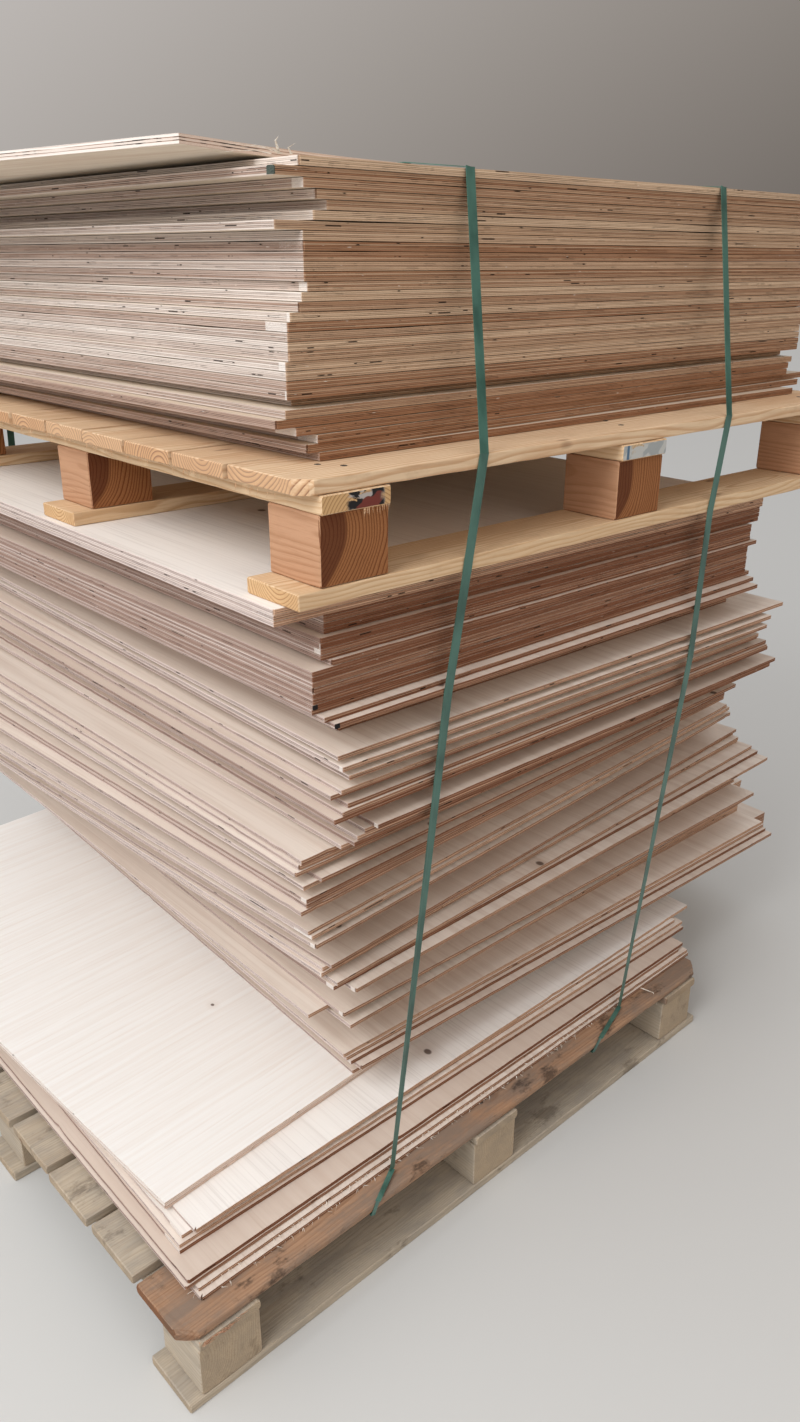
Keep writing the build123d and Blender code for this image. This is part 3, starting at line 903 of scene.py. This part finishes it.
def corner_marks(node, levels, length, on_left):
    """Marks as high as the sheet, beside the near corner of the sheets at the given heights."""
    def fill(build):
        middle, thick = 0.0012, 0.0022
        for level in levels:
            for box in map(Box, solids_of(node)):
                if box.low <= level < box.high:
                    u, v = (middle, length / 2) if on_left else (length / 2, middle)
                    size = (thick, length) if on_left else (length, thick)
                    centre = np.array([*box.place([u], [v])[0], (box.low + box.high) / 2])
                    add_block(build, centre, box.along, box.across, (*size, box.height * 0.9))
    return fill


def deck_nails(node, places):
    """Nail heads pressed into a front deck board, at shares of its length and depth."""
    def fill(build):
        box = Box(solids_of(node)[0])
        for along, across in places:
            plan = box.place([along * box.length], [across * box.depth])[0]
            centre = np.array([*plan, box.high - 0.0002])
            add_block(build, centre, box.along, box.across, (0.0070, 0.0070, 0.0012))
    return fill


# The straps' lower fold, in metres: where it starts above the deck, over what height it grows, and the share
# of the width that it takes at most. Only the front run, in front of this Y, is folded
FOLD_START = 0.033
FOLD_HEIGHT = 0.028
FOLD_SHARE = 0.48
FRONT_RUN = -0.5


def strap(node, furthest, at_sheet, at_arris, at_underside):
    """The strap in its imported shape, folded narrower from the lowest sheets to its turn under the deck.

    Its centre line comes down from the sheet that stands furthest forward. It passes the lowest sheet's edge,
    the deck's arris and the deck's underside, each at its own X.
    """
    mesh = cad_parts[node].data.copy()
    mesh.name = node + "_look"
    sheet_front, deck_front = lowest_sheet.corner[1] - 0.0085, lower_deck.corner[1] - 0.001
    route = np.array([
        furthest,
        (at_sheet, sheet_front, lower_deck.high + lowest_sheet.height),
        (at_arris, deck_front, lower_deck.high + 0.002),
        (at_underside, deck_front, lower_deck.low - 0.0015),
    ])
    for vertex in mesh.vertices:
        place = np.array(vertex.co)
        folded = min(1.0, (lower_deck.high + FOLD_START - place[2]) / FOLD_HEIGHT)
        if folded <= 0 or place[1] > FRONT_RUN:
            continue
        nearest = []
        for first, second in zip(route[:-1], route[1:]):
            step = second - first
            share = min(1.0, max(0.0, float((place - first) @ step / (step @ step))))
            nearest.append(first + step * share)
        centre = min(nearest, key=lambda near: np.linalg.norm(place - near))
        vertex.co = centre + (place - centre) * (1.0 - FOLD_SHARE * folded)
    mesh.materials.clear()
    mesh.materials.append(strap_finish)
    settle(place_object(node + "_look", mesh), node)


def tones_between(low, high, seeds):
    """A tone between low and high for each seed."""
    return [low + (high - low) * random.Random(seed).random() for seed in seeds]


# The sheets
thin = [thin_edge, thin_face]
thick = [thick_edge, thick_face]
# Tones below 0 whiten a sheet's face as painted light, on the highest loose sheets and the highest packet
# sheets
loose_tones = (0.6, 0.3, 0.7, 1.1, 1.0, -0.1, -0.6, -0.9)
packet_tones = tones_between(0.7, 1.4, range(90, 109)) + [0.3, -0.2, -0.9]
first_tones = tones_between(1.0, 1.3, range(70, 75)) + tones_between(0.2, 1.1, range(75, 85))
sheets("lower_sheets_loose_bottom", thin, 11, loose_tones, 0.0006, 0.006)
sheets("lower_sheets_pale", [pale_edge, pale_face], 12, (0.7, 0.2))
for run, seed, tones, droop in (
    ("set_back", 13, (0.05, 0.85), 0.0004),
    ("middle", 14, (0.1, 1.0), 0.0005),
    ("forward", 15, (0.2, 1.1), 0.0005),
    ("packets", 16, packet_tones, 0.0006),
):
    sheets("lower_sheets_" + run, thin, seed, tones, droop)
sheets("upper_sheets_first_half", thick, 17, first_tones, 0.0005)
sheets("upper_sheets_second_half", thick, 18, (0.0, 1.0), 0.0005)
curled_sheet("upper_sheet_top", [pale_edge, thick_face])

# The pallets. Two of the upper one's stringers have paint on their near ends
old_slot, new_slot = "weathered_pallet_wood", "new_pallet_wood"
END_PULL = 0.004
DECK_GAP = 0.0026
for prefix, wood, blocks, deck, slot, seed, dirt, ends, worn in (
    ("lower_pallet", old_wood, old_wood, old_wood, old_slot, 40, 0.6, (), 0.0045),
    ("upper_pallet", new_wood, block_wood, deck_wood, new_slot, 60, 0.12, (1, 2, 0), 0.0020),
):
    cross = {"lengthwise": False, "radius": worn}
    for number, row in enumerate(("front", "middle", "rear")):
        timber(f"{prefix}_bottom_board_{row}", [wood], slot, seed + number, dirt=dirt)
        block_look = {**cross, "pith": (-0.09, 0.02), "dirt": dirt * 0.6, "pull": END_PULL}
        timber(f"{prefix}_blocks_{row}", [blocks], slot, seed + 5 + number, **block_look)
    stringer_look = {**cross, "pith": (0.02, -0.04), "dirt": dirt}
    finishes = [wood, dark_smear, grey_smear]
    timber(f"{prefix}_stringer_boards", finishes, slot, seed + 10, ends, **stringer_look)
    deck_look = {"radius": worn, "dirt": dirt, "gap": DECK_GAP, "pull": END_PULL}
    timber(f"{prefix}_deck_boards", [deck], slot, seed + 11, **deck_look)
timber("lower_pallet_deck_board_front", [red_wood], old_slot, 80, radius=0.006, cut=0.024, dirt=0.9)
timber(
    "upper_pallet_deck_board_front", [deck_wood], new_slot, 81,
    radius=0.002, cut=0.024, dirt=0.15, pith=(0.03, 0.05), rear_gap=0.0022, set_back=0.007,
)

# Torn fibres, marks and nails
small_parts("lower_edge_fibres", torn_pale, lowest_edge)
small_parts("hanging_splinter", torn_pale, hanging_splinter)
small_parts("top_corner_splinters", torn_pale, top_splinters)
small_parts("upper_pallet_fibres", torn_pine, pallet_fibres)
small_parts("lower_pallet_fibres", torn_red, stringer_fibres)
packet_marks = corner_marks("lower_sheets_packets", (0.952, 0.930), 0.007, on_left=False)
small_parts("packet_corner_marks", black_mark, packet_marks)
upper_mark = corner_marks("upper_sheets_second_half", (1.520,), 0.013, on_left=True)
small_parts("upper_corner_mark", green_mark, upper_mark)
nails = [(0.07, 0.5), (0.085, 0.32), (0.5, 0.3), (0.515, 0.6), (0.92, 0.4), (0.935, 0.65)]
small_parts("upper_pallet_nails", nail_head, deck_nails("upper_pallet_deck_board_front", nails))
small_parts("lower_pallet_nails", nail_head, deck_nails("lower_pallet_deck_board_front", nails))

strap("strap_left", (-0.141, -0.5945, 0.925), at_sheet=-0.209, at_arris=-0.263, at_underside=-0.273)
strap("strap_right", (0.395, -0.6125, 0.851), at_sheet=0.367, at_arris=0.275, at_underside=0.257)

# The floor, which isn't part of the object
reach = 40.0
floor_mesh = bpy.data.meshes.new("studio_floor")
floor_corners = [(x * reach, y * reach, 0) for x, y in ((-1, -1), (1, -1), (1, 1), (-1, 1))]
floor_mesh.from_pydata(floor_corners, [], [(0, 1, 2, 3)])
floor = place_object("studio_floor", floor_mesh)
floor_mesh.materials.append(Shader("studio_floor").finish(rgb(205, 204, 201), 0.9))

# A world that is brighter and cooler toward the upper left, and dim and warm away from it
world = bpy.data.worlds.new("studio")
world.use_nodes = True
sky = world.node_tree
look = sky.nodes.new("ShaderNodeTexCoord")
tint = sky.nodes.new("ShaderNodeMix")
tint.data_type = "RGBA"
tint.inputs[MIX_FIRST].default_value = (1.0, 0.86, 0.74, 1.0)
tint.inputs[MIX_SECOND].default_value = (0.95, 0.97, 1.0, 1.0)
lean = sky.nodes.new("ShaderNodeVectorMath")
lean.operation = "DOT_PRODUCT"
lean.inputs[1].default_value = Vector((-0.55, 0.20, 0.80)).normalized()
shade = sky.nodes.new("ShaderNodeMapRange")
shade.interpolation_type = "SMOOTHSTEP"
for limit, value in (("From Min", -0.75), ("From Max", 0.9), ("To Min", 0.05), ("To Max", 0.95)):
    shade.inputs[limit].default_value = value
sky.links.new(look.outputs["Generated"], lean.inputs[0])
sky.links.new(lean.outputs["Value"], shade.inputs["Value"])
sky.links.new(shade.outputs["Result"], sky.nodes["Background"].inputs["Strength"])
sky.links.new(shade.outputs["Result"], tint.inputs[MIX_FACTOR])
sky.links.new(tint.outputs[MIX_RESULT], sky.nodes["Background"].inputs["Color"])
bpy.context.scene.world = world


def soft_light(name, place, size, power, colour):
    """A large square area light aimed at the middle of the load."""
    data = bpy.data.lights.new(name, "AREA")
    data.shape = "SQUARE"
    data.size = size
    data.energy = power
    data.color = colour
    lamp = place_object(name, data)
    lamp.location = place
    lamp.rotation_euler = (Vector((0.0, 0.0, 0.7)) - Vector(place)).to_track_quat("-Z", "Y").to_euler()


soft_light("key_left", (-3.6, -0.9, 4.0), 2.4, 135.0, (0.97, 0.985, 1.0))
soft_light("fill_front", (-1.2, -4.2, 2.2), 3.0, 22.0, (1.0, 0.86, 0.72))

# The camera, where the photo was taken from: it looks along X and Y by yaw and down by pitch
camera_place = Vector((-1.056, -1.490, 1.4374))
yaw, pitch, roll = math.radians(47.135), math.radians(22.796), math.radians(0.18)
forward = Vector((math.cos(yaw) * math.cos(pitch), math.sin(yaw) * math.cos(pitch), -math.sin(pitch)))
right = Vector((math.sin(yaw), -math.cos(yaw), 0.0))
above = Vector((math.cos(yaw) * math.sin(pitch), math.sin(yaw) * math.sin(pitch), math.cos(pitch)))
local_x = right * math.cos(roll) + above * math.sin(roll)
local_y = above * math.cos(roll) - right * math.sin(roll)
camera_data = bpy.data.cameras.new("photo_camera")
camera_data.lens = 27.27
camera_data.sensor_width = 36.0
camera_data.clip_start = 0.05
camera = place_object("photo_camera", camera_data)
turn = Matrix((local_x, local_y, -forward)).transposed()
camera.matrix_world = Matrix.Translation(camera_place) @ turn.to_4x4()
scene = bpy.context.scene
scene.camera = camera
scene.view_settings.view_transform = "Standard"
